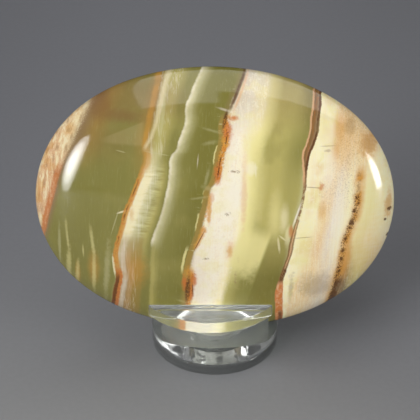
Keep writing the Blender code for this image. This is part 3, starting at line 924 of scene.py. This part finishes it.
class STONE_OT_studio(bpy.types.Operator):
    """Add the grey floor, the lamps and the camera"""
    bl_idname = "palm_stone.studio"
    bl_label = "Grey Studio"
    bl_options = {"REGISTER", "UNDO"}

    def lamp(self, name, radiance, size, place, target, shape="RECTANGLE"):
        data = bpy.data.lights.new(name, "AREA")
        data.shape, data.size, data.size_y = shape, size[0], size[1]
        area = size[0] * size[1] * (pi / 4 if shape == "ELLIPSE" else 1)
        data.energy = radiance * area * pi
        lamp = bpy.data.objects.new(name, data)
        bpy.context.scene.collection.objects.link(lamp)
        lamp.location = place
        lamp.rotation_euler = (Vector(target) - Vector(place)).to_track_quat("-Z", "Y").to_euler()
        return lamp

    def strip(self, name, radiance, size, place):
        """Three nested oval lamps, so that the highlight is brightest at its middle."""
        for number, share in enumerate((1.0, 0.72, 0.42)):
            self.lamp(f"{name}_{number}", radiance / 2, (size[0] * share, size[1] * share),
                      Vector(place) * (1 - number * 0.01), AIM, "ELLIPSE")

    def floor(self, settings):
        """A floor that curves up behind the stand."""
        back, margin = 3, 0.1
        start_piece()
        bpy.ops.mesh.primitive_plane_add(size=2 * back, location=(0, 0, 0))
        floor = bpy.context.object
        edit("EDGE")
        pick("EDGE", lambda edge, ends: all(end.y > back - margin for end in ends))
        extrude(back)
        pick("EDGE", lambda edge, ends: all(end.y > back - margin and end.z < margin for end in ends))
        bevel(1.2, 12)
        bpy.ops.object.mode_set(mode="OBJECT")
        bpy.ops.object.shade_smooth()
        floor.name = floor.data.name = "studio_floor"

        # Painted shade: darker to both sides and in front on the right, and a painted soft shadow right of
        # the stand
        recipe = Recipe("studio_grey")
        x, y, _ = recipe.split(recipe.place())
        speck = recipe.noise(recipe.place(), 900, 2)
        away = recipe.rise(y + x * 0.25, -0.10, 0.05)
        grey = recipe.mix(away, tuple(settings.floor_near), tuple(settings.floor_far))
        # Painted shade, darker to both sides of the stand and in front on its right
        side = (recipe.rise(abs(x + 0.006), 0.012, 0.07) * 0.12
                + recipe.rise(x, -0.04, 0.05) * (1 - away) * 0.12)
        # Painted shadow: a soft dark oval on the floor right of the stand
        shadow_oval = (((x - 0.020) / 0.018) ** 2 + ((y - 0.007) / 0.014) ** 2).root()
        painted_shadow = recipe.rise(shadow_oval, 1.6, 0.2) * 0.3
        dark = recipe.rise(speck, 0.3, 0.7) * 0.03 + side + painted_shadow
        recipe.finish(Base_Color=recipe.mix(dark, grey, (0, 0, 0)), Roughness=0.6)
        floor.data.materials.append(recipe.material)

    def execute(self, context):
        settings = context.scene.palm_studio
        self.floor(settings)

        # The panels give the reflections, and two large soft lamps give the even light
        height = 0.62
        for name, size, place in (("overhead_left", (0.33, 1.1), (-0.14, -0.04)),
                                  ("overhead_right", (0.75, 0.95), (0.40, 0.12))):
            panel = self.lamp(name, settings.overhead, size, (*place, height), (*place, 0))
            panel.visible_diffuse = False
        for name, radiance, size, place in (
                ("top_light", settings.top, (1.1, 1.1), (0.15, 0.03, 0.7)),
                ("front_light", settings.front, (0.6, 0.5), (-0.6, -0.48, 0.44))):
            soft = self.lamp(name, radiance, size, place, AIM)
            soft.visible_glossy = False
        self.strip("strip_left", settings.strips, (0.1, 0.26), (-0.36, -0.33, 0.12))
        self.strip("strip_right", settings.strips, (0.12, 0.22), (0.46, -0.20, 0.06))
        world = bpy.data.worlds.new("studio_air")
        world.use_nodes = True
        air = world.node_tree.nodes["Background"].inputs
        air["Color"].default_value, air["Strength"].default_value = (1, 1, 1, 1), settings.ambient
        context.scene.world = world

        data = bpy.data.cameras.new("camera")
        data.lens, data.sensor_width = settings.lens, 36
        data.clip_start, data.clip_end = 0.01, 20
        camera = bpy.data.objects.new("camera", data)
        context.scene.collection.objects.link(camera)
        camera.location = (-0.97 * MM, -242.73 * MM, 182.30 * MM)
        camera.rotation_euler = (radians(90) - DOWNWARD, 0, 0)
        context.scene.camera = camera
        context.scene.view_settings.view_transform = "Standard"
        return {"FINISHED"}


OPERATORS = (STONE_OT_polished, STONE_OT_cradle, STONE_OT_jaws, STONE_OT_foot, STONE_OT_screw,
             STONE_OT_studio)


class STONE_PT_panel(bpy.types.Panel):
    """Lists the pieces and their settings"""
    bl_idname = "STONE_PT_panel"
    bl_label = "Palm Stone"
    bl_space_type = "VIEW_3D"
    bl_region_type = "UI"
    bl_category = "Palm Stone"

    def draw(self, context):
        for operator in OPERATORS:
            self.layout.operator(operator.bl_idname)
        for group in (context.scene.palm_stone, context.scene.palm_stand, context.scene.palm_studio):
            box = self.layout.box()
            for name in group.__annotations__:
                box.prop(group, name)


CLASSES = (StoneSettings, StandSettings, StudioSettings, *OPERATORS, STONE_PT_panel)


def register():
    for entry in CLASSES:
        bpy.utils.register_class(entry)
    bpy.types.Scene.palm_stone = bpy.props.PointerProperty(type=StoneSettings)
    bpy.types.Scene.palm_stand = bpy.props.PointerProperty(type=StandSettings)
    bpy.types.Scene.palm_studio = bpy.props.PointerProperty(type=StudioSettings)


def unregister():
    del bpy.types.Scene.palm_stone, bpy.types.Scene.palm_stand, bpy.types.Scene.palm_studio
    for entry in reversed(CLASSES):
        bpy.utils.unregister_class(entry)


def main():
    register()
    bpy.ops.palm_stone.polished_stone()
    bpy.ops.palm_stone.cradle()
    bpy.ops.palm_stone.jaws()
    bpy.ops.palm_stone.foot()
    bpy.ops.palm_stone.screw()
    bpy.ops.palm_stone.studio()


if __name__ == "__main__":
    main()
